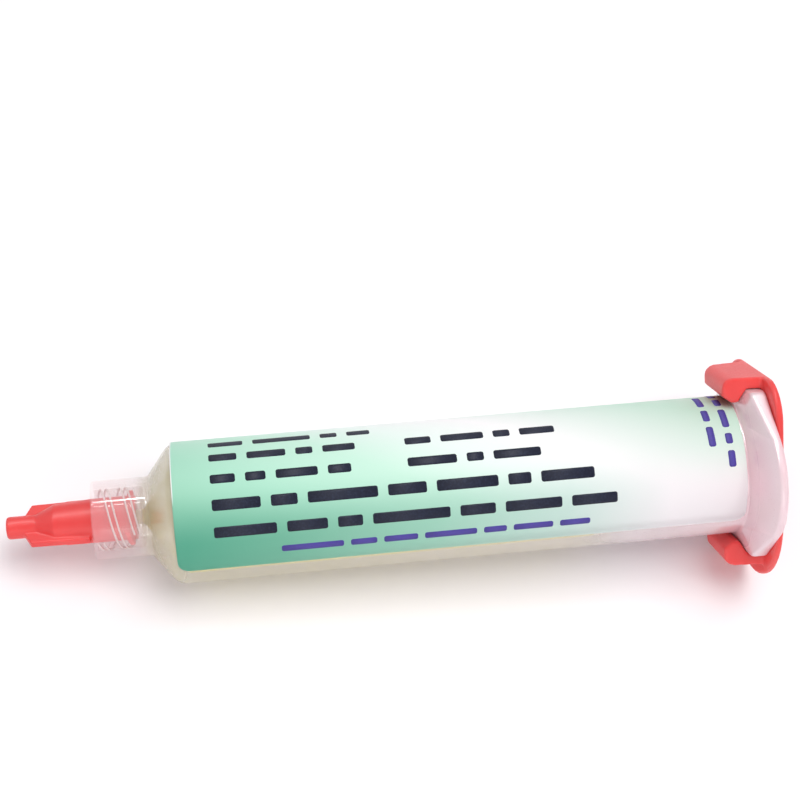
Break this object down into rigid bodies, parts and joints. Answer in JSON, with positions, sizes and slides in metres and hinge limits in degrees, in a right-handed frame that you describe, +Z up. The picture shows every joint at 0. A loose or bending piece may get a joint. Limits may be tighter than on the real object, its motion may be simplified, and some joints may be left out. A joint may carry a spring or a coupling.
{
  "type": "flux syringe",
  "caption": "Capped dispensing syringe of soldering flux gel: translucent eared barrel with a luer-lock tip, wrapped label, white follower piston, red clip-on end cap and red winged tip cap.",
  "frame": {"origin": "middle of the bounding box on the surface that the syringe lies on", "axes": "+X along the barrel towards the end cap, -Y towards the raised flange ear and the label's lower edge, +Z up; the barrel's axis rises 3.43 degrees towards +X, as it lies at rest"},
  "size_m": [0.1022, 0.0292, 0.0285],
  "materials": {
    "barrel": "translucent polypropylene, semi-gloss",
    "label": "satin printed film",
    "gel": "wet, soft gel",
    "piston": "white polyethylene, satin",
    "cap": "red polyethylene, semi-gloss"
  },
  "bodies": {
    "syringe": {"barrel": "barrel", "label": "label", "flux_gel": "gel"},
    "follower": {"piston": "piston"},
    "rear_cap": {"end_cap": "cap"},
    "front_cap": {"tip_cap": "cap"}
  },
  "joints": [
    {"name": "piston_slide", "type": "slide", "parent": "syringe", "child": "follower", "axis": [-0.9982, 0, -0.0599], "range_m": [0, 0.0538], "deforming": ["flux_gel"]},
    {"name": "end_cap_pull", "type": "slide", "parent": "syringe", "child": "rear_cap", "axis": [0.9982, 0, 0.0599], "range_m": [0, 0.03], "deforming": ["end_cap"]},
    {"name": "tip_cap_pull", "type": "slide", "parent": "syringe", "child": "front_cap", "axis": [-0.9982, 0, -0.0599], "range_m": [0, 0.02]}
  ]
}
